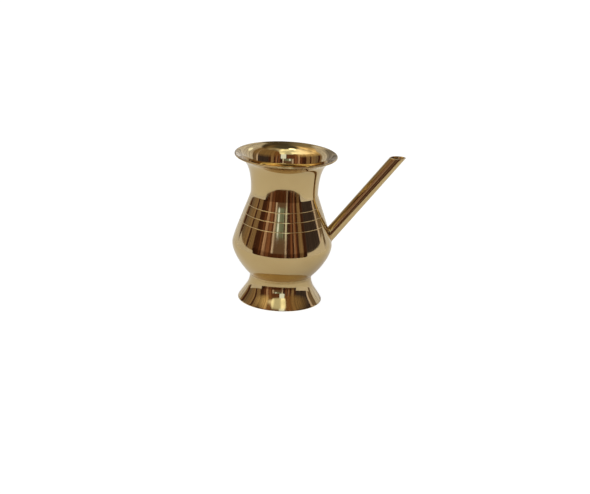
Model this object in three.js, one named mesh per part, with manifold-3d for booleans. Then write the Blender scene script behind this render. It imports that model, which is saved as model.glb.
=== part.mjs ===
import * as THREE from "three";
import { mergeVertices } from "three/addons/utils/BufferGeometryUtils.js";
import Module from "manifold-3d";

// A brass lota: a bowl with a flaring neck on a hollow flared foot, and a straight tube spout.
// Millimetres, Z up. The foot rests on Z = 0 and the spout leans out along +X.
// The origin is under the middle of the whole pot, so the bowl's own axis stands at negative X.

const wasm = await Module();
wasm.setup();

// Bowl: heights are stacked from the ground up, radii are those of its outer face.
const BOWL_LIFT = 12.6; // ground to the underside of the bowl
const BELLY_RISE = 26; // underside of the bowl to its widest ring
const SHOULDER_RISE = 35; // widest ring to the narrowest ring of the neck
const FLARE_RISE = 26.4; // narrowest ring of the neck to the top of the rim
const FLOOR_RADIUS = 11.8; // flat middle of the underside
const BELLY_RADIUS = 33.3;
const NECK_RADIUS = 22.3;
const RIM_RADIUS = 34;
const RIM_LEAN = THREE.MathUtils.degToRad(60); // lip's direction, measured from upright
const BOWL_WALL = 1.1;

// How far each bend of the bowl reaches along its end directions, as a share of the bend's size.
const FLOOR_PULL = 0.31;
const UNDER_BELLY_PULL = 0.34;
const OVER_BELLY_PULL = 0.14;
const UNDER_NECK_PULL = 0.07;
const OVER_NECK_PULL = 0.9;
const LIP_PULL = 0.14;

// Foot: a hollow flare, open underneath.
const FOOT_RADIUS = 28.2;
const WAIST_RADIUS = 20.6; // foot's outer radius where it meets the bowl
const FOOT_WALL = 1.3;
const FOOT_REST_WIDTH = 1.6; // flat ring that stands on the ground
const FOOT_SPLAY = THREE.MathUtils.degToRad(31); // foot's wall at the ground, from upright
const FOOT_GROUND_PULL = 0.52; // shares of the foot's height, as for the bowl
const FOOT_WAIST_PULL = 0.45;

// Spout: a straight tube rolled from sheet, its long seam underneath.
const SPOUT_RADIUS = 4.2;
const SPOUT_WALL = 0.6;
const SPOUT_ANGLE = THREE.MathUtils.degToRad(51.3); // above level
const SPOUT_ROOT_RISE = 6.1; // widest ring up to where the spout's axis meets the belly
const SPOUT_DROP = 1.7; // top of the rim down to the spout's level mouth
const SPOUT_SLIT = 1.2; // gap between the two long edges of the rolled sheet

// Solder and fits.
const FOOT_SOLDER = 0.6; // solder between the foot's top edge and the bowl
const FOOT_BEAD = 1.2; // how far that solder swells out past the waist
const BEAD_SHOULDER = 0.85; // share of that swelling reached level with the crease
const ROOT_FILLET = 1.4; // solder round the spout's root, along the tube and along the belly
const FIT_GAP = 0.3; // between pieces that meet at an angle
const RING_GAP = 0.05; // between rings that share the bowl's axis

const TURN_STEPS = 48; // facets round the pot
const TUBE_STEPS = 32; // facets round the spout
const CURVE_STEPS = 8; // facets along each bend of a profile
const LIP_STEPS = 4; // facets over the rounded rim
const FILLET_STEPS = 3; // steps of the solder round the spout's root

const BELLY_HEIGHT = BOWL_LIFT + BELLY_RISE;
const NECK_HEIGHT = BELLY_HEIGHT + SHOULDER_RISE;
const RIM_HEIGHT = NECK_HEIGHT + FLARE_RISE;

function material(color, roughness) {
  return new THREE.MeshStandardMaterial({ color, roughness, metalness: 1 });
}

const polishedBrass = material(0xc8a465, 0.12);
const brazingAlloy = material(0xb79a68, 0.3);

function solidOf(geometry) {
  const bare = geometry.clone();
  bare.deleteAttribute("normal");
  bare.deleteAttribute("uv");
  const merged = mergeVertices(bare, 1e-4);
  const vertProperties = merged.attributes.position.array;
  const triVerts = new Uint32Array(merged.index.array);
  return new wasm.Manifold(new wasm.Mesh({ numProp: 3, vertProperties, triVerts }));
}

function meshOf(name, solid, finish) {
  const { vertProperties, triVerts } = solid.getMesh();
  const geometry = new THREE.BufferGeometry();
  geometry.setAttribute("position", new THREE.BufferAttribute(vertProperties, 3));
  geometry.setIndex(new THREE.BufferAttribute(triVerts, 1));
  geometry.computeVertexNormals();
  const mesh = new THREE.Mesh(geometry, finish);
  mesh.name = name;
  return mesh;
}

// Turns a profile of (radius, height) points round the Z axis.
function turned(profile) {
  return solidOf(new THREE.LatheGeometry(profile, TURN_STEPS).rotateX(Math.PI / 2));
}

// The middle of the bowl's sheet, from the axis of the underside out and up to the lip.
function bowlLine() {
  const half = BOWL_WALL / 2;
  const centre = new THREE.Vector2(0, BOWL_LIFT + half);
  const floor = new THREE.Vector2(FLOOR_RADIUS, BOWL_LIFT + half);
  const belly = new THREE.Vector2(BELLY_RADIUS - half, BELLY_HEIGHT);
  const neck = new THREE.Vector2(NECK_RADIUS - half, NECK_HEIGHT);
  const lip = new THREE.Vector2(RIM_RADIUS - half, RIM_HEIGHT - half);
  const lipPull = FLARE_RISE * LIP_PULL;
  const shift = (point, across, up) => new THREE.Vector2(point.x + across, point.y + up);
  return [
    new THREE.LineCurve(centre, floor),
    new THREE.CubicBezierCurve(
      floor,
      shift(floor, (BELLY_RADIUS - FLOOR_RADIUS) * FLOOR_PULL, 0),
      shift(belly, 0, -BELLY_RISE * UNDER_BELLY_PULL),
      belly,
    ),
    new THREE.CubicBezierCurve(
      belly,
      shift(belly, 0, SHOULDER_RISE * OVER_BELLY_PULL),
      shift(neck, 0, -SHOULDER_RISE * UNDER_NECK_PULL),
      neck,
    ),
    new THREE.CubicBezierCurve(
      neck,
      shift(neck, 0, FLARE_RISE * OVER_NECK_PULL),
      shift(lip, -lipPull * Math.sin(RIM_LEAN), -lipPull * Math.cos(RIM_LEAN)),
      lip,
    ),
  ];
}

// Points at a distance outside the middle of the bowl's sheet, or inside it where it is negative.
function bowlProfile(distance) {
  const points = [];
  bowlLine().forEach((curve, index) => {
    const steps = index === 0 ? 1 : CURVE_STEPS;
    for (let step = index === 0 ? 0 : 1; step <= steps; step += 1) {
      const point = curve.getPoint(step / steps);
      const along = curve.getTangent(step / steps);
      points.push(new THREE.Vector2(point.x + along.y * distance, point.y - along.x * distance));
    }
  });
  return points;
}

// Where a profile first reaches a value of its radius ("x") or its height ("y").
function whereProfile(profile, key, value) {
  const end = profile.findIndex((point, index) => index > 0 && point[key] >= value);
  const before = profile[end - 1];
  const after = profile[end];
  return before.clone().lerp(after, (value - before[key]) / (after[key] - before[key]));
}

const outside = bowlProfile(BOWL_WALL / 2);

// Everything within a distance of the bowl's outer face, or within its hollow, as one solid.
function filledBowl(distance) {
  const profile = bowlProfile(distance);
  profile.push(new THREE.Vector2(0, profile.at(-1).y));
  return turned(profile);
}

// Spout: its axis leaves the belly at the root and stops at the level mouth.
const spoutRoot = whereProfile(outside, "y", BELLY_HEIGHT + SPOUT_ROOT_RISE);
const mouthHeight = RIM_HEIGHT - SPOUT_DROP;
const spoutLength = (mouthHeight - spoutRoot.y) / Math.sin(SPOUT_ANGLE);
const mouthReach = spoutRoot.x + spoutLength * Math.cos(SPOUT_ANGLE);
const spoutInside = 2 * SPOUT_RADIUS + BOWL_WALL; // how far the uncut tube starts inside the bowl
const mouthSpare = 2 * SPOUT_RADIUS; // how far the uncut tube runs past its mouth

// Moves a shape drawn along Z, with Z = 0 at the spout's root, onto the spout's axis.
function ontoSpout(geometry) {
  geometry.rotateY(Math.PI / 2 - SPOUT_ANGLE);
  geometry.translate(spoutRoot.x, 0, spoutRoot.y);
  return solidOf(geometry);
}

function spoutRod(radius) {
  const length = spoutInside + spoutLength + mouthSpare;
  const rod = new THREE.CylinderGeometry(radius, radius, length, TUBE_STEPS);
  rod.rotateX(Math.PI / 2);
  rod.translate(0, 0, length / 2 - spoutInside);
  return ontoSpout(rod);
}

// A length of the tube's wall, between two angles round its axis; angle 0 is the underside.
function tubeWall(from, to, steps) {
  const outline = new THREE.Shape();
  outline.absarc(0, 0, SPOUT_RADIUS, from, to, false);
  outline.absarc(0, 0, SPOUT_RADIUS - SPOUT_WALL, to, from, true);
  const depth = spoutInside + spoutLength + mouthSpare;
  const wall = new THREE.ExtrudeGeometry(outline, { depth, bevelEnabled: false, curveSegments: steps });
  wall.translate(0, 0, -spoutInside);
  return trimSpout(ontoSpout(wall));
}

// Cuts a spout piece level at the mouth and flush with the inside of the bowl.
function trimSpout(solid) {
  const side = 4 * mouthReach;
  const above = new THREE.BoxGeometry(side, side, side);
  above.translate(0, 0, mouthHeight + side / 2);
  return solid.subtract(solidOf(above)).subtract(filledBowl(-BOWL_WALL / 2));
}

// The bowl: floor, belly, shoulder, neck and rounded rim in one sheet, with the spout's hole.
function bowl() {
  const inside = bowlProfile(-BOWL_WALL / 2).reverse();
  const lipOut = outside.at(-1);
  const lipIn = inside[0];
  const middle = lipOut.clone().lerp(lipIn, 0.5);
  const lip = [];
  for (let step = 1; step < LIP_STEPS; step += 1) {
    const turn = (Math.PI * step) / LIP_STEPS;
    lip.push(lipOut.clone().rotateAround(middle, turn));
  }
  return turned([...outside, ...lip, ...inside]).subtract(spoutRod(SPOUT_RADIUS + FIT_GAP));
}

// The underside of the bowl between two radii, lowered by a drop, from the inner radius out.
function underBowl(inner, outer, drop) {
  const between = outside.filter((point) => point.x > inner && point.x < outer && point.y < BELLY_HEIGHT);
  const run = [whereProfile(outside, "x", inner), ...between, whereProfile(outside, "x", outer)];
  return run.map((point) => new THREE.Vector2(point.x, point.y - drop));
}

const waistInside = WAIST_RADIUS - FOOT_WALL;
const footDrop = FOOT_SOLDER + 2 * RING_GAP; // from the bowl's underside to the foot's top edge

function footCurve(groundRadius, waistRadius) {
  const top = whereProfile(outside, "x", waistRadius).y - footDrop;
  const pull = top * FOOT_GROUND_PULL;
  return new THREE.CubicBezierCurve(
    new THREE.Vector2(groundRadius, 0),
    new THREE.Vector2(groundRadius - pull * Math.sin(FOOT_SPLAY), pull * Math.cos(FOOT_SPLAY)),
    new THREE.Vector2(waistRadius, top * (1 - FOOT_WAIST_PULL)),
    new THREE.Vector2(waistRadius, top),
  );
}

// The foot: a flared wall with a flat ring to stand on, its top edge shaped to the bowl above it.
function foot() {
  const outer = footCurve(FOOT_RADIUS, WAIST_RADIUS).getPoints(CURVE_STEPS);
  const topEdge = underBowl(waistInside, WAIST_RADIUS, footDrop).slice(1, -1);
  const inner = footCurve(FOOT_RADIUS - FOOT_REST_WIDTH, waistInside).getPoints(CURVE_STEPS);
  return turned([...outer, ...topEdge.reverse(), ...inner.reverse(), outer[0]]);
}

// The solder that holds the foot: a seam over the foot's top edge and a bead round the crease.
function footSolder() {
  const seam = underBowl(waistInside, WAIST_RADIUS, footDrop - RING_GAP);
  const crease = whereProfile(outside, "x", WAIST_RADIUS).y;
  const bead = new THREE.Vector2(WAIST_RADIUS + FOOT_BEAD * BEAD_SHOULDER, crease - RING_GAP);
  const bowlSide = underBowl(waistInside, WAIST_RADIUS + FOOT_BEAD, RING_GAP);
  return turned([...seam, bead, ...bowlSide.reverse(), seam[0]]);
}

// The solder round the spout's root: narrow steps up the tube and wide ones over the belly.
function rootSolder() {
  const bowlClear = BOWL_WALL / 2 + FIT_GAP;
  const tubeClear = SPOUT_RADIUS + FIT_GAP;
  const step = ROOT_FILLET / FILLET_STEPS;
  const layers = [];
  for (let level = 1; level <= FILLET_STEPS; level += 1) {
    const collar = spoutRod(tubeClear + step * (FILLET_STEPS + 1 - level));
    layers.push(collar.intersect(filledBowl(bowlClear + step * level)));
  }
  const block = layers.reduce((sum, layer) => sum.add(layer));
  return block.subtract(filledBowl(bowlClear)).subtract(spoutRod(tubeClear));
}

// The rolled tube covers all but the slit; the brazed strip lies in the slit with a gap each side.
const slitHalf = SPOUT_SLIT / 2 / SPOUT_RADIUS;
const stripHalf = (SPOUT_SLIT / 2 - FIT_GAP) / SPOUT_RADIUS;

const pot = new THREE.Group();
pot.add(meshOf("bowl", bowl(), polishedBrass));
pot.add(meshOf("foot", foot(), polishedBrass.clone()));
pot.add(meshOf("foot_solder", footSolder(), brazingAlloy));
pot.add(meshOf("spout_tube", tubeWall(slitHalf, 2 * Math.PI - slitHalf, TUBE_STEPS), polishedBrass.clone()));
pot.add(meshOf("spout_seam_solder", tubeWall(-stripHalf, stripHalf, 2), brazingAlloy.clone()));
pot.add(meshOf("spout_root_solder", rootSolder(), brazingAlloy.clone()));

const widest = Math.max(RIM_RADIUS, BELLY_RADIUS, FOOT_RADIUS);
pot.position.x = (widest - mouthReach - SPOUT_RADIUS / Math.sin(SPOUT_ANGLE)) / 2;

const lota = new THREE.Group();
lota.add(pot);

export default lota;
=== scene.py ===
import math

import bmesh
import bpy
from mathutils import Matrix, Vector


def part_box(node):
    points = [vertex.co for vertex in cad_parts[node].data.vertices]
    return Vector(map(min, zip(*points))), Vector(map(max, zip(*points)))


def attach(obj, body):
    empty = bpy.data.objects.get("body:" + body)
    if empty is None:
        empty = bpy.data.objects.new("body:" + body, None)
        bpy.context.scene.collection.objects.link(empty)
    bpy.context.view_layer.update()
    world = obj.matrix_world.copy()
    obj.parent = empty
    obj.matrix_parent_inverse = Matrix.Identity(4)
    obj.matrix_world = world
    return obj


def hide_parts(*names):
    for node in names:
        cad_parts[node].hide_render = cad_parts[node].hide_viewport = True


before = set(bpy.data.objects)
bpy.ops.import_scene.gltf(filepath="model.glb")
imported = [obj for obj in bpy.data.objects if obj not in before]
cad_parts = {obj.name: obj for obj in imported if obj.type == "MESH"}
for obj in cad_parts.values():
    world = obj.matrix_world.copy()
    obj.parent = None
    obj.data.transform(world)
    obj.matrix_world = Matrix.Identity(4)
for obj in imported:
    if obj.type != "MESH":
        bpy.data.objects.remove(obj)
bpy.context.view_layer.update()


# ---------------------------------------------------------------------------
# Bowl: one shell of yellow brass, spun to shape and polished, from the rounded
# underside through belly, shoulder and neck to the flared lip. Three fine
# lines are cut round the shoulder while it still turns in the lathe.
# ---------------------------------------------------------------------------

MM = 0.001
bowl_low, bowl_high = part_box("bowl")
AXIS_X = (bowl_low.x + bowl_high.x) / 2
RIM_RADIUS = (bowl_high.x - bowl_low.x) / 2
RIM_HEIGHT = bowl_high.z
UNDERSIDE = bowl_low.z
FLOOR_RADIUS = 11.8 * MM
BELLY_RADIUS, BELLY_HEIGHT = 33.3 * MM, 38.6 * MM
NECK_RADIUS, NECK_HEIGHT = 22.3 * MM, 73.6 * MM
RIM_LEAN = math.radians(60)
BOWL_WALL = 1.1 * MM
LINE_HEIGHTS = (54.4 * MM, 60.4 * MM, 66.3 * MM)
LINE_DEPTH = 0.085 * MM
LINE_HALF_WIDTH = 0.27 * MM
SHOULDER_STEPS, SHOULDER_THINNING = 720, 24
LIP_STEPS = 10
TURN_STEPS = 256

BRASS = (0.62, 0.462, 0.232, 1)
BRASS_WARM = (0.58, 0.42, 0.20, 1)
WARM_END, PLAIN_END = 0.325, 0.75  # where the patches of tone turn fully warm or plain


def bend(start, pull, back, end, steps):
    """Points and directions along a smooth bend from start to end, steered by pull and back."""
    run = []
    for step in range(steps + 1):
        t = step / steps
        point = ((1 - t) ** 3 * start + 3 * (1 - t) ** 2 * t * pull
                 + 3 * (1 - t) * t * t * back + t ** 3 * end)
        along = (1 - t) ** 2 * (pull - start) + 2 * (1 - t) * t * (back - pull) + t * t * (end - back)
        run.append((point, along.normalized()))
    return run


def near_line(height):
    """Whether a height lies in or just beside a cut line."""
    return any(abs(height - line) < 1.5 * LINE_HALF_WIDTH for line in LINE_HEIGHTS)


def bowl_line(lined):
    """The middle of the bowl's sheet as (radius, height) points, closer together where lines are cut."""
    half = BOWL_WALL / 2
    centre = Vector((0, UNDERSIDE + half))
    floor = Vector((FLOOR_RADIUS, UNDERSIDE + half))
    belly = Vector((BELLY_RADIUS - half, BELLY_HEIGHT))
    neck = Vector((NECK_RADIUS - half, NECK_HEIGHT))
    lip = Vector((RIM_RADIUS - half, RIM_HEIGHT - half))
    under, over, flare = BELLY_HEIGHT - UNDERSIDE, NECK_HEIGHT - BELLY_HEIGHT, RIM_HEIGHT - NECK_HEIGHT
    lip_way = Vector((math.sin(RIM_LEAN), math.cos(RIM_LEAN)))
    flat = bend(centre, centre.lerp(floor, 1 / 3), centre.lerp(floor, 2 / 3), floor, 4)
    lower = bend(floor, floor + Vector((0.31 * (BELLY_RADIUS - FLOOR_RADIUS), 0)),
                 belly - Vector((0, 0.34 * under)), belly, 32)
    shoulder = bend(belly, belly + Vector((0, 0.14 * over)),
                    neck - Vector((0, 0.07 * over)), neck, SHOULDER_STEPS)
    shoulder = [spot for step, spot in enumerate(shoulder)
                if step % SHOULDER_THINNING == 0 or (lined and near_line(spot[0].y))]
    flared = bend(neck, neck + Vector((0, 0.9 * flare)), lip - 0.14 * flare * lip_way, lip, 32)
    return flat + lower[1:] + shoulder[1:] + flared[1:]


def bowl_profile(distance, line_depth=0.0):
    """The face at a distance outside the middle of the sheet, with the cut lines where they have a depth."""
    points = []
    for point, along in bowl_line(line_depth > 0):
        depth = 0.0
        for height in LINE_HEIGHTS:
            off = (point.y - height) / LINE_HALF_WIDTH
            if abs(off) < 1:
                depth = line_depth * (0.5 + 0.5 * math.cos(math.pi * off))
        points.append(point + Vector((along.y, -along.x)) * (distance - depth))
    return points


def round_over(start, end, steps):
    """A half circle's points from start to end, without the two ends, bulging to the right of the way."""
    middle, arm = (start + end) / 2, (start - end) / 2
    turns = [math.pi * step / steps for step in range(1, steps)]
    return [middle + Vector((arm.x * math.cos(a) - arm.y * math.sin(a),
                             arm.x * math.sin(a) + arm.y * math.cos(a))) for a in turns]


def turned(name, profile, closed):
    """A mesh object: a (radius, height) profile turned all the way round the bowl's axis."""
    mesh = bpy.data.meshes.new(name)
    shape = bmesh.new()
    row = [shape.verts.new((AXIS_X + point.x, 0, point.y)) for point in profile]
    for first, second in zip(row, row[1:] + row[:1] if closed else row[1:]):
        shape.edges.new((first, second))
    bmesh.ops.spin(shape, geom=shape.verts[:] + shape.edges[:], cent=(AXIS_X, 0, 0), axis=(0, 0, 1),
                   dvec=(0, 0, 0), angle=2 * math.pi, steps=TURN_STEPS, use_merge=True)
    bmesh.ops.remove_doubles(shape, verts=shape.verts[:], dist=0.001 * MM)
    bmesh.ops.recalc_face_normals(shape, faces=shape.faces[:])
    for face in shape.faces:
        face.smooth = True
    shape.to_mesh(mesh)
    shape.free()
    piece = bpy.data.objects.new(name, mesh)
    bpy.context.scene.collection.objects.link(piece)
    return piece


def cut_away(piece, cutter):
    """Cuts one solid out of another and takes the cutter off the bench."""
    tool = piece.modifiers.new("cut", "BOOLEAN")
    tool.operation = "DIFFERENCE"
    tool.solver = "EXACT"
    tool.object = cutter
    ready = piece.evaluated_get(bpy.context.evaluated_depsgraph_get())
    piece.data = bpy.data.meshes.new_from_object(ready)
    piece.modifiers.clear()
    bpy.data.objects.remove(cutter)


def polished_brass(name, roughness=0.07, lines=0.35, waves=0.5):
    """Buffed brass: slightly uneven tone and gloss, fine turning lines, and a soft wave from hand tools."""
    material = bpy.data.materials.new(name)
    material.use_nodes = True
    nodes, link = material.node_tree.nodes, material.node_tree.links.new
    shader = nodes["Principled BSDF"]
    shader.inputs["Metallic"].default_value = 1.0
    place = nodes.new("ShaderNodeTexCoord")
    centred = nodes.new("ShaderNodeMapping")
    centred.inputs["Location"].default_value = (-AXIS_X, 0, 0)
    link(place.outputs["Object"], centred.inputs["Vector"])

    # Tone: broad patches that the buffing wheel left a little warmer.
    patches = nodes.new("ShaderNodeTexNoise")
    patches.inputs["Scale"].default_value = 45
    patches.inputs["Detail"].default_value = 4
    link(centred.outputs["Vector"], patches.inputs["Vector"])
    tone = nodes.new("ShaderNodeValToRGB")
    tone.color_ramp.elements[0].position = WARM_END
    tone.color_ramp.elements[0].color = BRASS_WARM
    tone.color_ramp.elements[1].position = PLAIN_END
    tone.color_ramp.elements[1].color = BRASS
    link(patches.outputs["Fac"], tone.inputs["Fac"])
    link(tone.outputs["Color"], shader.inputs["Base Color"])

    # Gloss: fingermarks and thin tarnish dull it in places.
    smears = nodes.new("ShaderNodeTexNoise")
    smears.inputs["Scale"].default_value = 130
    smears.inputs["Detail"].default_value = 6
    link(centred.outputs["Vector"], smears.inputs["Vector"])
    gloss = nodes.new("ShaderNodeMapRange")
    gloss.inputs["From Min"].default_value = 0.35
    gloss.inputs["From Max"].default_value = 0.75
    gloss.inputs["To Min"].default_value = roughness * 0.7
    gloss.inputs["To Max"].default_value = roughness * 1.6
    link(smears.outputs["Fac"], gloss.inputs["Value"])
    link(gloss.outputs["Result"], shader.inputs["Roughness"])

    # Relief: turning lines run round the axis, and the hand tools left a long soft wave.
    parts = nodes.new("ShaderNodeSeparateXYZ")
    flat = nodes.new("ShaderNodeCombineXYZ")
    reach = nodes.new("ShaderNodeVectorMath")
    reach.operation = "LENGTH"
    ring = nodes.new("ShaderNodeCombineXYZ")
    link(centred.outputs["Vector"], parts.inputs["Vector"])
    link(parts.outputs["X"], flat.inputs["X"])
    link(parts.outputs["Y"], flat.inputs["Y"])
    link(flat.outputs["Vector"], reach.inputs[0])
    link(reach.outputs["Value"], ring.inputs["X"])
    link(parts.outputs["Z"], ring.inputs["Z"])
    turning = nodes.new("ShaderNodeTexNoise")
    turning.inputs["Scale"].default_value = 2600
    turning.inputs["Detail"].default_value = 3
    link(ring.outputs["Vector"], turning.inputs["Vector"])
    wave = nodes.new("ShaderNodeTexNoise")
    wave.inputs["Scale"].default_value = 95
    wave.inputs["Detail"].default_value = 1
    link(centred.outputs["Vector"], wave.inputs["Vector"])
    soft = nodes.new("ShaderNodeBump")
    soft.inputs["Strength"].default_value = waves
    soft.inputs["Distance"].default_value = 0.12 * MM
    link(wave.outputs["Fac"], soft.inputs["Height"])
    fine = nodes.new("ShaderNodeBump")
    fine.inputs["Strength"].default_value = lines
    fine.inputs["Distance"].default_value = 0.002 * MM
    link(turning.outputs["Fac"], fine.inputs["Height"])
    link(soft.outputs["Normal"], fine.inputs["Normal"])
    link(fine.outputs["Normal"], shader.inputs["Normal"])
    return material


outer = bowl_profile(BOWL_WALL / 2, LINE_DEPTH)
inner = bowl_profile(-BOWL_WALL / 2)[::-1]
bowl = turned("bowl_shell", outer + round_over(outer[-1], inner[0], LIP_STEPS) + inner, False)
bowl.data.materials.append(polished_brass("bowl brass"))
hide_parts("bowl")


# ---------------------------------------------------------------------------
# Foot: a flared ring of the same brass, hollow underneath, turned true at the
# bottom so that it stands on a narrow flat ring. Its top edge is shaped to the
# round of the bowl and soldered there.
# ---------------------------------------------------------------------------

foot_low, foot_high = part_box("foot")
FOOT_RADIUS = (foot_high.x - foot_low.x) / 2
WAIST_RADIUS = 20.6 * MM
FOOT_WALL = 1.3 * MM
FOOT_REST_WIDTH = 1.6 * MM
FOOT_SPLAY = math.radians(31)
FOOT_TOP_GAP = 0.35 * MM
FOOT_EDGE = 0.35 * MM
FOOT_OUTER_STEPS, FOOT_INNER_STEPS = 56, 40


def under_bowl(radius):
    """The height of the bowl's underside at a radius."""
    for before, after in zip(outer, outer[1:]):
        if after.x >= radius:
            return before.lerp(after, (radius - before.x) / (after.x - before.x)).y


def foot_bend(ground_radius, waist_radius, steps):
    """One face of the foot's wall, from the ground up to the waist under the bowl."""
    top = under_bowl(waist_radius) - FOOT_TOP_GAP
    ground, waist = Vector((ground_radius, 0)), Vector((waist_radius, top))
    splay = Vector((-math.sin(FOOT_SPLAY), math.cos(FOOT_SPLAY)))
    return [point for point, along in bend(ground, ground + 0.52 * top * splay,
                                           waist - Vector((0, 0.45 * top)), waist, steps)]


def softened(corner, before, after, size):
    """Three points that round a corner off over a size, in place of the corner."""
    first = corner + (before - corner).normalized() * size
    last = corner + (after - corner).normalized() * size
    return [first, (first + last) / 4 + corner / 2, last]


waist_inside = WAIST_RADIUS - FOOT_WALL
foot_outer = foot_bend(FOOT_RADIUS, WAIST_RADIUS, FOOT_OUTER_STEPS)
foot_inner = foot_bend(FOOT_RADIUS - FOOT_REST_WIDTH, waist_inside, FOOT_INNER_STEPS)[::-1]
outer_edge = softened(foot_outer[0], foot_inner[-1], foot_outer[1], FOOT_EDGE)
inner_edge = softened(foot_inner[-1], foot_inner[-2], foot_outer[0], FOOT_EDGE)
foot = turned("foot_ring", outer_edge + foot_outer[2:] + foot_inner[:-1] + inner_edge, True)
foot.data.materials.append(polished_brass("foot brass"))
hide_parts("foot")


# ---------------------------------------------------------------------------
# Foot solder: a brass-coloured seam run round the crease between bowl and
# foot, then turned back and buffed until only a small round bead is left.
# ---------------------------------------------------------------------------

BEAD_REACH = 0.75 * MM
BEAD_ROOT = 0.9 * MM
BEAD_STEPS = 10
SEAM_STEPS = 8
SOLDER_TONE = (0.62, 0.445, 0.205)


def solder(name, tone, roughness):
    """Brazing alloy: duller than the brass, with the small ripples of a run seam."""
    material = bpy.data.materials.new(name)
    material.use_nodes = True
    nodes, link = material.node_tree.nodes, material.node_tree.links.new
    shader = nodes["Principled BSDF"]
    shader.inputs["Metallic"].default_value = 1.0
    place = nodes.new("ShaderNodeTexCoord")
    grain = nodes.new("ShaderNodeTexNoise")
    grain.inputs["Scale"].default_value = 420
    grain.inputs["Detail"].default_value = 5
    link(place.outputs["Object"], grain.inputs["Vector"])
    colour = nodes.new("ShaderNodeValToRGB")
    colour.color_ramp.elements[0].position = 0.35
    colour.color_ramp.elements[0].color = (tone[0] * 0.85, tone[1] * 0.82, tone[2] * 0.78, 1)
    colour.color_ramp.elements[1].position = 0.62
    colour.color_ramp.elements[1].color = (*tone, 1)
    link(grain.outputs["Fac"], colour.inputs["Fac"])
    link(colour.outputs["Color"], shader.inputs["Base Color"])
    gloss = nodes.new("ShaderNodeMapRange")
    gloss.inputs["To Min"].default_value = roughness * 1.4
    gloss.inputs["To Max"].default_value = roughness * 0.7
    link(grain.outputs["Fac"], gloss.inputs["Value"])
    link(gloss.outputs["Result"], shader.inputs["Roughness"])
    ripple = nodes.new("ShaderNodeBump")
    ripple.inputs["Strength"].default_value = 0.35
    ripple.inputs["Distance"].default_value = 0.05 * MM
    link(grain.outputs["Fac"], ripple.inputs["Height"])
    link(ripple.outputs["Normal"], shader.inputs["Normal"])
    return material


seam_radii = [waist_inside + FOOT_WALL * step / SEAM_STEPS for step in range(SEAM_STEPS + 1)]
foot_top = [Vector((r, under_bowl(r) - FOOT_TOP_GAP)) for r in seam_radii]
bead_radii = [WAIST_RADIUS + BEAD_REACH * (1 - step / SEAM_STEPS) for step in range(SEAM_STEPS)]
bowl_side = [Vector((r, under_bowl(r))) for r in bead_radii + seam_radii[::-1]]
bead_foot = Vector((WAIST_RADIUS, foot_top[-1].y - BEAD_ROOT))
bead_way = Vector((0.1 * MM, 0.5 * MM))
bead = [point for point, along in bend(bead_foot, bead_foot + bead_way,
                                       bowl_side[0] - bead_way, bowl_side[0], BEAD_STEPS)]
bead_ring = turned("foot_solder_bead", foot_top + bead + bowl_side[1:], True)
bead_ring.data.materials.append(solder("foot solder", SOLDER_TONE, roughness=0.12))
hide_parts("foot_solder")


# ---------------------------------------------------------------------------
# Spout: a strip of thin brass sheet rolled into a straight tube, pushed through
# a hole in the belly's side and sawn off level at the mouth. Its edges meet in a
# seam along the underside.
# ---------------------------------------------------------------------------

spout_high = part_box("spout_tube")[1]
SPOUT_RADIUS = 4.2 * MM
SPOUT_WALL = 0.6 * MM
SPOUT_ANGLE = math.radians(51.3)
SPOUT_ROOT_HEIGHT = 44.7 * MM
SEAM_WIDTH = 0.28 * MM
MOUTH_EDGE = 0.12 * MM
SPOUT_STEPS = 96
SPOUT_SECTIONS = 60
CRISP_ANGLE = 40
spout_way = Vector((math.cos(SPOUT_ANGLE), 0, math.sin(SPOUT_ANGLE)))
mouth_height = spout_high.z


def belly_radius(height):
    """The radius of the bowl's outer face at a height above its widest ring."""
    for before, after in zip(outer, outer[1:]):
        if after.y >= height:
            return before.lerp(after, (height - before.y) / (after.y - before.y)).x


spout_root = Vector((AXIS_X + belly_radius(SPOUT_ROOT_HEIGHT), 0, SPOUT_ROOT_HEIGHT))
spout_length = (mouth_height - SPOUT_ROOT_HEIGHT) / spout_way.z
start_inside = 2 * SPOUT_RADIUS + BOWL_WALL
onto_spout = (Matrix.Translation(spout_root)
              @ Matrix.Rotation(math.pi / 2 - SPOUT_ANGLE, 4, "Y"))


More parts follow.
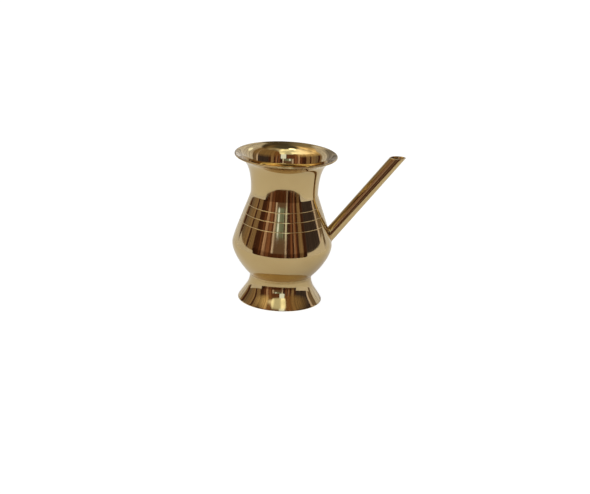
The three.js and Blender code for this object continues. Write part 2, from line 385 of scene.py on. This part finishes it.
def spout_strip(name, radius, thickness, first, last, steps, sections):
    """Sheet curved round the spout's axis between two angles from the underside, cut level at the mouth."""
    mesh = bpy.data.meshes.new(name)
    shape = bmesh.new()
    edge = shape.verts.new((radius * math.cos(first), radius * math.sin(first), -start_inside))
    bmesh.ops.spin(shape, geom=[edge], cent=(0, 0, 0), axis=(0, 0, 1), dvec=(0, 0, 0),
                   angle=last - first, steps=steps)
    rise = (start_inside + spout_length + 2 * SPOUT_RADIUS) / sections
    front = shape.edges[:]
    for _ in range(sections):
        grown = bmesh.ops.extrude_edge_only(shape, edges=front)["geom"]
        front = [item for item in grown if isinstance(item, bmesh.types.BMEdge)]
        moved = [item for item in grown if isinstance(item, bmesh.types.BMVert)]
        bmesh.ops.translate(shape, verts=moved, vec=(0, 0, rise))
    bmesh.ops.recalc_face_normals(shape, faces=shape.faces[:])
    middle = shape.faces[len(shape.faces) // 2]
    if middle.normal.dot(middle.calc_center_median() * Vector((1, 1, 0))) < 0:
        bmesh.ops.reverse_faces(shape, faces=shape.faces[:])
    bmesh.ops.solidify(shape, geom=shape.faces[:], thickness=thickness)
    bmesh.ops.transform(shape, matrix=onto_spout, verts=shape.verts[:])
    cut = bmesh.ops.bisect_plane(shape, geom=shape.verts[:] + shape.edges[:] + shape.faces[:],
                                 plane_co=(0, 0, mouth_height), plane_no=(0, 0, 1), clear_outer=True)
    rim = [item for item in cut["geom_cut"] if isinstance(item, bmesh.types.BMEdge)]
    lid = bmesh.ops.edgeloop_fill(shape, edges=rim)["faces"]
    bmesh.ops.recalc_face_normals(shape, faces=shape.faces[:])
    bmesh.ops.bevel(shape, geom=lid[0].edges[:], offset=MOUTH_EDGE, affect="EDGES", segments=2,
                    profile=0.5, material=-1)
    for face in shape.faces:
        face.smooth = True
    shape.to_mesh(mesh)
    shape.free()
    piece = bpy.data.objects.new(name, mesh)
    bpy.context.scene.collection.objects.link(piece)
    return piece


def spout_rod(radius):
    """A plain rod along the spout's axis through the belly's side, to cut with."""
    mesh = bpy.data.meshes.new("spout hole")
    shape = bmesh.new()
    bmesh.ops.create_cone(shape, cap_ends=True, segments=SPOUT_STEPS, radius1=radius, radius2=radius,
                          depth=2 * start_inside, matrix=onto_spout)
    shape.to_mesh(mesh)
    shape.free()
    rod = bpy.data.objects.new("spout hole", mesh)
    bpy.context.scene.collection.objects.link(rod)
    return rod


def bowl_hollow():
    """The space inside the bowl as a solid, to trim the spout's pieces flush with the inner wall."""
    hollow = turned("bowl hollow", inner[::-1] + [Vector((0, inner[0].y))], False)
    axis = Matrix.Translation((AXIS_X, 0, 0))
    hollow.data.transform(axis @ Matrix.Rotation(math.pi / TURN_STEPS, 4, "Z") @ axis.inverted())
    return hollow


def crisp(piece, degrees):
    """Keeps the edges sharper than an angle crisp, and lets the rest shade smooth."""
    piece.data.set_sharp_from_angle(angle=math.radians(degrees))


half_seam = SEAM_WIDTH / 2 / SPOUT_RADIUS
cut_away(bowl, spout_rod(SPOUT_RADIUS))
crisp(bowl, CRISP_ANGLE)
spout = spout_strip("spout_pipe", SPOUT_RADIUS, SPOUT_WALL, half_seam, 2 * math.pi - half_seam,
                    SPOUT_STEPS, SPOUT_SECTIONS)
cut_away(spout, bowl_hollow())
crisp(spout, CRISP_ANGLE)
spout.data.materials.append(polished_brass("spout brass", roughness=0.09, lines=0.0, waves=0.35))
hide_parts("spout_tube")


# ---------------------------------------------------------------------------
# Seam solder: a thread of brazing alloy run along the underside of the spout to
# close the rolled sheet's edges, then filed flush with the tube.
# ---------------------------------------------------------------------------

SEAM_PROUD = 0.03 * MM
SEAM_ACROSS = 3
SEAM_TONE = (0.60, 0.50, 0.31)

seam = spout_strip("spout_seam_line", SPOUT_RADIUS + SEAM_PROUD, SPOUT_WALL, -half_seam, half_seam,
                   SEAM_ACROSS, SPOUT_SECTIONS)
cut_away(seam, bowl_hollow())
crisp(seam, CRISP_ANGLE)
seam.data.materials.append(solder("seam solder", SEAM_TONE, roughness=0.3))
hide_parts("spout_seam_solder")


# ---------------------------------------------------------------------------
# Root solder: a small hollow fillet of the same alloy, run round the spout where
# it enters the belly. It follows the round of the bowl, so it is a saddle.
# ---------------------------------------------------------------------------

FILLET_UP = 1.0 * MM
FILLET_OUT = 0.9 * MM
FILLET_ROWS = 7
ROOT_TONE = (0.60, 0.43, 0.195)
ROOT_CRISP_ANGLE = 50
SEARCH_STEPS = 40  # halvings that find the belly's face


def under_radius(height):
    """The radius of the bowl's outer face at a height below its widest ring."""
    for before, after in zip(outer, outer[1:]):
        if after.y >= height > before.y:
            return before.lerp(after, (height - before.y) / (after.y - before.y)).x


def onto_belly(turn, reach):
    """The point of the belly's outer face beside the spout's axis, at a turn and a reach from it."""
    side = onto_spout.to_3x3() @ Vector((math.cos(turn) * reach, math.sin(turn) * reach, 0))
    low, high = -3 * SPOUT_RADIUS, 3 * SPOUT_RADIUS
    for _ in range(SEARCH_STEPS):
        middle = (low + high) / 2
        point = spout_root + side + spout_way * middle
        face_radius = belly_radius(point.z) if point.z > BELLY_HEIGHT else under_radius(point.z)
        if math.hypot(point.x - AXIS_X, point.y) > face_radius:
            high = middle
        else:
            low = middle
    return point


def fillet_ring(name):
    """A closed ring: rows up the tube's side and out over the belly, bridged round the spout."""
    mesh = bpy.data.meshes.new(name)
    shape = bmesh.new()
    rows = []
    for row in range(FILLET_ROWS + 1):
        swing = row / FILLET_ROWS * math.pi / 2
        lift = FILLET_UP * (1 - math.sin(swing))
        out = FILLET_OUT * (1 - math.cos(swing))
        loop = bmesh.ops.create_circle(shape, segments=SPOUT_STEPS, radius=SPOUT_RADIUS)["verts"]
        for vert in loop:
            turn = math.atan2(vert.co.y, vert.co.x)
            vert.co = onto_belly(turn, SPOUT_RADIUS + out) + spout_way * lift
        rows.append(loop)
    buried = bmesh.ops.create_circle(shape, segments=SPOUT_STEPS, radius=SPOUT_RADIUS)["verts"]
    for vert in buried:
        vert.co = onto_belly(math.atan2(vert.co.y, vert.co.x), SPOUT_RADIUS)
    rows.append(buried)
    loops = [[edge for edge in {e for v in row for e in v.link_edges}] for row in rows]
    for first, second in zip(loops, loops[1:] + loops[:1]):
        bmesh.ops.bridge_loops(shape, edges=first + second)
    bmesh.ops.recalc_face_normals(shape, faces=shape.faces[:])
    for face in shape.faces:
        face.smooth = True
    shape.to_mesh(mesh)
    shape.free()
    piece = bpy.data.objects.new(name, mesh)
    bpy.context.scene.collection.objects.link(piece)
    return piece


root_ring = fillet_ring("spout_root_fillet")
crisp(root_ring, ROOT_CRISP_ANGLE)
root_ring.data.materials.append(solder("root solder", ROOT_TONE, roughness=0.12))
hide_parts("spout_root_solder")

for piece in (bowl, foot, bead_ring, spout, seam, root_ring):
    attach(piece, "root")


# ---------------------------------------------------------------------------
# Studio: the pot stands on a sheet of white paper, in a room whose striped brown
# curtain and one pale window are seen only in the polished brass.
# ---------------------------------------------------------------------------

CAMERA_TURN = math.radians(-8)
CAMERA_RISE = math.radians(17.46)
CAMERA_ROLL = math.radians(2.74)
CAMERA_DISTANCE = 1.0
CAMERA_LENS = 91.5
CAMERA_SHIFT = (0.0207, -0.0349)
AIM = Vector((AXIS_X, 0, 50 * MM))

WHITE = (1, 1, 1, 1)
PALE = (0.68, 0.70, 0.76, 1)
GREY = (0.28, 0.28, 0.30, 1)
PINK_LIGHT = (0.66, 0.60, 0.64, 1)
GOLDEN = (0.31, 0.225, 0.15, 1)
OLIVE = (0.22, 0.17, 0.13, 1)
LIGHT_FOLD = (0.50, 0.35, 0.30, 1)
RUST = (0.26, 0.125, 0.08, 1)
BROWN = (0.16, 0.07, 0.04, 1)
DARK = (0.07, 0.029, 0.02, 1)
NEAR_BLACK = (0.055, 0.043, 0.05, 1)
GLASS = (0.25, 0.34, 0.33, 1)
BRIGHT_GLASS = (1.1, 1.4, 1.9, 1)
STREAK = (0.80, 0.92, 1.0, 1)

# The room's turns are in degrees to the right of straight ahead, and its heights in degrees over the
# horizon. These are the turns where its upright bands start.
BANDS = ((-180, GREY), (-155, PALE), (-135, GOLDEN), (-129, DARK), (-120, OLIVE), (-107, GOLDEN), (-92, DARK),
         (-87, GOLDEN), (-72, DARK), (-57, BROWN), (-49, LIGHT_FOLD), (-42, RUST), (-31, BROWN),
         (-26, PINK_LIGHT), (-20, GLASS), (-16, BRIGHT_GLASS), (-12, GLASS), (2, DARK),
         (7, PINK_LIGHT), (11, DARK), (20, RUST), (25, DARK), (29, LIGHT_FOLD), (31, RUST), (36, DARK),
         (42, GOLDEN), (52, DARK), (60, NEAR_BLACK), (102, PINK_LIGHT), (109, OLIVE), (125, PALE))
# The pale floor below them, grey behind, and how high it reaches. In front the bands run on down in shade.
FLOOR_TONES = ((-180, GREY), (-160, GREY), (-145, PALE), (145, PALE), (160, GREY), (180, GREY))
SHADE = (0.58, 0.52, 0.48, 1)
SHADE_HEIGHT = 7
SHADE_MIDDLE, SHADE_HALF_WIDTH = -6, 66
PALE_HEIGHTS = ((-180, -2), (-80, -2), (-74, 0), (-70, 0), (-60, -30), (53, -30), (62, 0), (92, 0), (104, -1),
                (125, -3), (180, -2))
# The window's glass lies between a dim sill and the closed curtain over it, which leaves one bright gap.
# A sharp streak of light falls beside it.
WINDOW_LEFT, WINDOW_RIGHT = -27, 6
GLASS_FOOT, GLASS_TOP = 19.2, 25
SILL = (0.17, 0.115, 0.09, 1)
SILL_LEFT = -20
STREAK_LEFT, STREAK_RIGHT = 6.5, 11.5
GAP_LEFT, GAP_RIGHT = 0, 18
# High up the walls catch more light from the ceiling, a little lower down on the right of LIT_SIDE:
# golden on the left, brown on the right.
GOLD_WALL = (0.88, 0.70, 0.40, 1)
RUST_WALL = (0.27, 0.14, 0.055, 1)
BROWN_WALL = (0.33, 0.23, 0.12, 1)
UPPER_WALLS = ((-180, PALE), (-136, PALE), (-126, GOLD_WALL), (-46, GOLD_WALL), (-36, RUST_WALL),
               (35, RUST_WALL), (55, BROWN_WALL), (125, BROWN_WALL), (138, PALE), (180, PALE))
LIT_FROM, LIT_FULLY, LIT_SHARE = 31, 43, 0.8
LIT_SIDE, LIT_EARLIER = 30, 5
# How high the walls reach before the ceiling shows, and the ceiling's tone, round the room.
CEILING_LINE = ((-180, 50), (-135, 48), (-120, 43), (-60, 43), (-30, 45), (-22, 42), (22, 42), (28, 54),
                (60, 60), (130, 56), (180, 50))
CEILING = ((-180, (0.09, 0.085, 0.07, 1)), (-155, (0.30, 0.27, 0.20, 1)), (-130, (1.40, 1.12, 0.68, 1)),
           (-60, (1.3, 1.3, 1.15, 1)), (-22, (1.75, 1.9, 1.7, 1)), (20, (1.7, 1.85, 1.6, 1)),
           (35, (0.7, 0.68, 0.6, 1)), (85, (0.42, 0.38, 0.29, 1)), (115, (0.19, 0.135, 0.075, 1)),
           (180, (0.09, 0.085, 0.07, 1)))
CEILING_MIDDLE = (0.10, 0.095, 0.075, 1)
MIDDLE_FROM, MIDDLE_FULLY = 70, 77
# Two lamps: turn, height and half width in degrees, and tone.
LAMPS = ((-39, 75, 6, (3.0, 3.3, 3.3, 1)), (146, 38, 5, (1.5, 1.7, 1.9, 1)))
PAPER_RADIUS = 0.4
PAPER_FRONT = 0.168
FLOOR_SIZE = 6
FLOOR_DROP = 0.3 * MM
# Two low cards stand either side, out of the camera's view, and cut the dark walls off in the reflections.
# They glow pale by themselves, which is painted light: a dim grey card that shines like a lit white one.
CARD_RADIUS = 0.3
LEFT_CARD_HEIGHT, RIGHT_CARD_HEIGHT = 0.054, 0.063
CARD_STEPS = 24
SOFT_BOX_POWER, SOFT_BOX_SIZE = 4.15, 1.2
SOFT_BOX_PLACE = Vector((AXIS_X - 0.4, -0.2, 1.4))


def node(tree, kind, **settings):
    """A new shader node with its settings."""
    made = tree.nodes.new(kind)
    for key, value in settings.items():
        setattr(made, key, value)
    return made


def figure(tree, operation, *values):
    """A maths node on links and numbers."""
    made = node(tree, "ShaderNodeMath", operation=operation)
    for slot, value in zip(made.inputs, values):
        if isinstance(value, (int, float)):
            slot.default_value = value
        else:
            tree.links.new(value, slot)
    return made.outputs["Value"]


def blend(tree, share, first, second, mode="MIX"):
    """The colour that a share of the second gives when it is laid over the first."""
    made = node(tree, "ShaderNodeMixRGB", blend_type=mode)
    for slot, value in zip(made.inputs, (share, first, second)):
        if isinstance(value, (int, float, tuple)):
            slot.default_value = value
        else:
            tree.links.new(value, slot)
    return made.outputs["Color"]


def paper(name):
    """White paper: lit and slightly glowing, and burnt out to white where it is looked at directly."""
    material = bpy.data.materials.new(name)
    material.use_nodes = True
    tree = material.node_tree
    shader = tree.nodes["Principled BSDF"]
    shader.inputs["Base Color"].default_value = (0.78, 0.80, 0.82, 1)
    shader.inputs["Roughness"].default_value = 0.9
    shader.inputs["Specular IOR Level"].default_value = 0.1
    shader.inputs["Emission Color"].default_value = WHITE
    shader.inputs["Emission Strength"].default_value = 0.165
    burnt = node(tree, "ShaderNodeEmission")
    burnt.inputs["Strength"].default_value = 1.15
    path = node(tree, "ShaderNodeLightPath")
    seen = figure(tree, "MULTIPLY", path.outputs["Is Camera Ray"], 0.8)
    both = node(tree, "ShaderNodeMixShader")
    tree.links.new(seen, both.inputs[0])
    tree.links.new(shader.outputs["BSDF"], both.inputs[1])
    tree.links.new(burnt.outputs["Emission"], both.inputs[2])
    tree.links.new(both.outputs["Shader"], tree.nodes["Material Output"].inputs["Surface"])
    return material


def sheet(name, radius, centre):
    """A round sheet of paper that lies level."""
    mesh = bpy.data.meshes.new(name)
    shape = bmesh.new()
    bmesh.ops.create_circle(shape, cap_ends=True, segments=96, radius=radius,
                            matrix=Matrix.Translation(centre))
    shape.to_mesh(mesh)
    shape.free()
    made = bpy.data.objects.new(name, mesh)
    made.data.materials.append(paper(name))
    bpy.context.scene.collection.objects.link(made)
    return made


paper_back = PAPER_RADIUS - PAPER_FRONT
sheet("paper sheet", PAPER_RADIUS,
      (AXIS_X - paper_back * math.sin(CAMERA_TURN), paper_back * math.cos(CAMERA_TURN), 0))
far_floor = sheet("pale floor", FLOOR_SIZE, (AXIS_X, 0, -FLOOR_DROP))
far_floor.visible_glossy = False


def card(name, first, last, card_height):
    """A low upright card that curves round the pot between two turns to the right of straight ahead."""
    mesh = bpy.data.meshes.new(name)
    shape = bmesh.new()
    start = Vector((math.sin(first + CAMERA_TURN), -math.cos(first + CAMERA_TURN), 0)) * CARD_RADIUS
    foot_end = shape.verts.new((AXIS_X + start.x, start.y, 0))
    head_end = shape.verts.new((AXIS_X + start.x, start.y, card_height))
    upright = shape.edges.new((foot_end, head_end))
    bmesh.ops.spin(shape, geom=[foot_end, head_end, upright], cent=(AXIS_X, 0, 0), axis=(0, 0, 1),
                   dvec=(0, 0, 0), angle=last - first, steps=CARD_STEPS)
    shape.to_mesh(mesh)
    shape.free()
    made = bpy.data.objects.new(name, mesh)
    made.data.materials.append(glowing_card_paint)
    made.visible_camera = False
    bpy.context.scene.collection.objects.link(made)


glowing_card_paint = bpy.data.materials.new("glowing pale card")
glowing_card_paint.use_nodes = True
card_shader = glowing_card_paint.node_tree.nodes["Principled BSDF"]
card_shader.inputs["Base Color"].default_value = (0.3, 0.3, 0.3, 1)
# Painted light: the card is dim grey and glows pale on its own, in place of light it would bounce.
card_shader.inputs["Roughness"].default_value = 0.9
card_shader.inputs["Emission Color"].default_value = PALE
card_shader.inputs["Emission Strength"].default_value = 0.8
card("left card", math.radians(-116), math.radians(-66), LEFT_CARD_HEIGHT)
card("right card", math.radians(58), math.radians(112), RIGHT_CARD_HEIGHT)

world = bpy.data.worlds.new("studio")
bpy.context.scene.world = world
world.use_nodes = True
room = world.node_tree
way = node(room, "ShaderNodeTexCoord")
facing = node(room, "ShaderNodeMapping")
facing.inputs["Rotation"].default_value = (0, 0, -CAMERA_TURN)
room.links.new(way.outputs["Generated"], facing.inputs["Vector"])
axes = node(room, "ShaderNodeSeparateXYZ")
room.links.new(facing.outputs["Vector"], axes.inputs["Vector"])
ahead = figure(room, "MULTIPLY", axes.outputs["Y"], -1.0)
turn = figure(room, "MULTIPLY", figure(room, "ARCTAN2", axes.outputs["X"], ahead), math.degrees(1))
height = figure(room, "MULTIPLY", figure(room, "ARCSINE", axes.outputs["Z"]), math.degrees(1))
share = figure(room, "MULTIPLY_ADD", turn, 1 / 360, 0.5)


def ramp(tree, factor, stops, constant):
    """A colour that changes round the room, at once at each stop or evenly from stop to stop."""
    made = node(tree, "ShaderNodeValToRGB")
    made.color_ramp.interpolation = "CONSTANT" if constant else "LINEAR"
    for place, (angle, value) in enumerate(stops):
        if place > 1:
            made.color_ramp.elements.new(1.0)
    for stop, (angle, value) in zip(made.color_ramp.elements, stops):
        stop.position = (angle + 180) / 360
        stop.color = value
    tree.links.new(factor, made.inputs["Fac"])
    return made.outputs["Color"]


bands = ramp(room, share, BANDS, True)
folds = node(room, "ShaderNodeTexNoise", noise_dimensions="1D")
folds.inputs["Scale"].default_value = 0.4
folds.inputs["Detail"].default_value = 3
room.links.new(turn, folds.inputs["W"])
fold_light = node(room, "ShaderNodeMapRange")
fold_light.inputs["From Min"].default_value = 0.35
fold_light.inputs["From Max"].default_value = 0.65
fold_light.inputs["To Min"].default_value = 0.5
fold_light.inputs["To Max"].default_value = 1.5
room.links.new(folds.outputs["Fac"], fold_light.inputs["Value"])
hung = blend(room, 1.0, bands, fold_light.outputs["Result"], "MULTIPLY")
closed = blend(room, 1.0, fold_light.outputs["Result"], BROWN, "MULTIPLY")


def between(tree, value, low, high):
    """0 below low, 1 above high, and a straight rise between."""
    made = node(tree, "ShaderNodeMapRange")
    made.inputs["From Min"].default_value = low
    made.inputs["From Max"].default_value = high
    tree.links.new(value, made.inputs["Value"])
    return made.outputs["Result"]


def heights(stops):
    """A height in degrees that changes round the room."""
    shades = [(angle, ((rise + 90) / 180,) * 3 + (1,)) for angle, rise in stops]
    return figure(room, "MULTIPLY_ADD", ramp(room, share, shades, False), 180.0, -90.0)


in_window = figure(room, "MULTIPLY", figure(room, "GREATER_THAN", turn, WINDOW_LEFT),
                   figure(room, "LESS_THAN", turn, WINDOW_RIGHT))
shaded = blend(room, 1.0, blend(room, in_window, hung, closed), SHADE, "MULTIPLY")
upper = blend(room, 1.0, fold_light.outputs["Result"], ramp(room, share, UPPER_WALLS, False), "MULTIPLY")
earlier = figure(room, "MULTIPLY", figure(room, "GREATER_THAN", turn, LIT_SIDE), LIT_EARLIER)
lit_height = figure(room, "ADD", height, earlier)
lit_up = figure(room, "MULTIPLY", between(room, lit_height, LIT_FROM, LIT_FULLY), LIT_SHARE)
hung = blend(room, lit_up, hung, upper)
over_window = figure(room, "MULTIPLY", in_window, between(room, height, GLASS_TOP, GLASS_TOP + 2))
hung = blend(room, over_window, hung, closed)
under_window = figure(room, "MULTIPLY", in_window, between(room, height, GLASS_FOOT + 1.2, GLASS_FOOT))
under_window = figure(room, "MULTIPLY", under_window, figure(room, "GREATER_THAN", turn, SILL_LEFT))
hung = blend(room, under_window, hung, SILL)
in_streak = figure(room, "MULTIPLY", figure(room, "GREATER_THAN", turn, STREAK_LEFT),
                   figure(room, "LESS_THAN", turn, STREAK_RIGHT))
hung = blend(room, figure(room, "MULTIPLY", in_streak, between(room, height, GLASS_FOOT - 1, GLASS_FOOT + 1)),
             hung, STREAK)
in_gap = figure(room, "MULTIPLY", figure(room, "GREATER_THAN", turn, GAP_LEFT),
                figure(room, "LESS_THAN", turn, GAP_RIGHT))
hung = blend(room, figure(room, "MULTIPLY", in_gap, between(room, height, GLASS_TOP, GLASS_TOP + 2)),
             hung, BRIGHT_GLASS)
walls = blend(room, between(room, height, SHADE_HEIGHT, SHADE_HEIGHT + 2), shaded, hung)
over_pale = figure(room, "SUBTRACT", height, heights(PALE_HEIGHTS))
off_shade = figure(room, "ABSOLUTE", figure(room, "SUBTRACT", turn, SHADE_MIDDLE))
walls = blend(room, figure(room, "GREATER_THAN", off_shade, SHADE_HALF_WIDTH), walls, hung)
walls = blend(room, between(room, over_pale, -1, 1), ramp(room, share, FLOOR_TONES, False), walls)
over_line = figure(room, "SUBTRACT", height, heights(CEILING_LINE))
ceiling_share = between(room, over_line, 0, 3)
clutter = node(room, "ShaderNodeTexNoise")
clutter.inputs["Scale"].default_value = 3.2
clutter.inputs["Detail"].default_value = 3
room.links.new(facing.outputs["Vector"], clutter.inputs["Vector"])
clutter_light = node(room, "ShaderNodeMapRange")
clutter_light.inputs["From Min"].default_value = 0.38
clutter_light.inputs["From Max"].default_value = 0.62
clutter_light.inputs["To Min"].default_value = 0.45
clutter_light.inputs["To Max"].default_value = 1.3
room.links.new(clutter.outputs["Fac"], clutter_light.inputs["Value"])
ceiling = blend(room, 1.0, ramp(room, share, CEILING, False), clutter_light.outputs["Result"], "MULTIPLY")
ceiling = blend(room, between(room, height, MIDDLE_FROM, MIDDLE_FULLY), ceiling, CEILING_MIDDLE)
lit_room = blend(room, ceiling_share, walls, ceiling)
for lamp_turn, lamp_rise, half_width, tone in LAMPS:
    around, up = math.radians(lamp_turn), math.radians(lamp_rise)
    toward = node(room, "ShaderNodeVectorMath", operation="DOT_PRODUCT")
    toward.inputs[1].default_value = (math.sin(around) * math.cos(up),
                                      -math.cos(around) * math.cos(up), math.sin(up))
    room.links.new(facing.outputs["Vector"], toward.inputs[0])
    on_lamp = figure(room, "GREATER_THAN", toward.outputs["Value"], math.cos(math.radians(half_width)))
    lit_room = blend(room, on_lamp, lit_room, tone)
shown = node(room, "ShaderNodeLightPath")
seen = blend(room, shown.outputs["Is Camera Ray"], lit_room, WHITE)
room.links.new(seen, room.nodes["Background"].inputs["Color"])
room.nodes["Background"].inputs["Strength"].default_value = 1.0

camera_data = bpy.data.cameras.new("camera")
camera = bpy.data.objects.new("camera", camera_data)
bpy.context.scene.collection.objects.link(camera)
camera_data.sensor_width = 36
camera_data.lens = CAMERA_LENS
camera_data.shift_x, camera_data.shift_y = CAMERA_SHIFT
camera_data.clip_start = 0.01
camera_back = Vector((math.sin(CAMERA_TURN) * math.cos(CAMERA_RISE),
                      -math.cos(CAMERA_TURN) * math.cos(CAMERA_RISE), math.sin(CAMERA_RISE)))
camera.location = AIM + camera_back * CAMERA_DISTANCE
camera.rotation_euler = (camera_back.to_track_quat("Z", "Y").to_matrix()
                         @ Matrix.Rotation(CAMERA_ROLL, 3, "Z")).to_euler()
bpy.context.scene.camera = camera
bpy.context.scene.view_settings.view_transform = "Standard"

key = bpy.data.lights.new("soft box", "AREA")
key.energy = SOFT_BOX_POWER
key.size = SOFT_BOX_SIZE
key_object = bpy.data.objects.new("soft box", key)
key_object.location = SOFT_BOX_PLACE
key_object.rotation_euler = (AIM - SOFT_BOX_PLACE).to_track_quat("-Z", "Y").to_euler()
key_object.visible_glossy = False
bpy.context.scene.collection.objects.link(key_object)
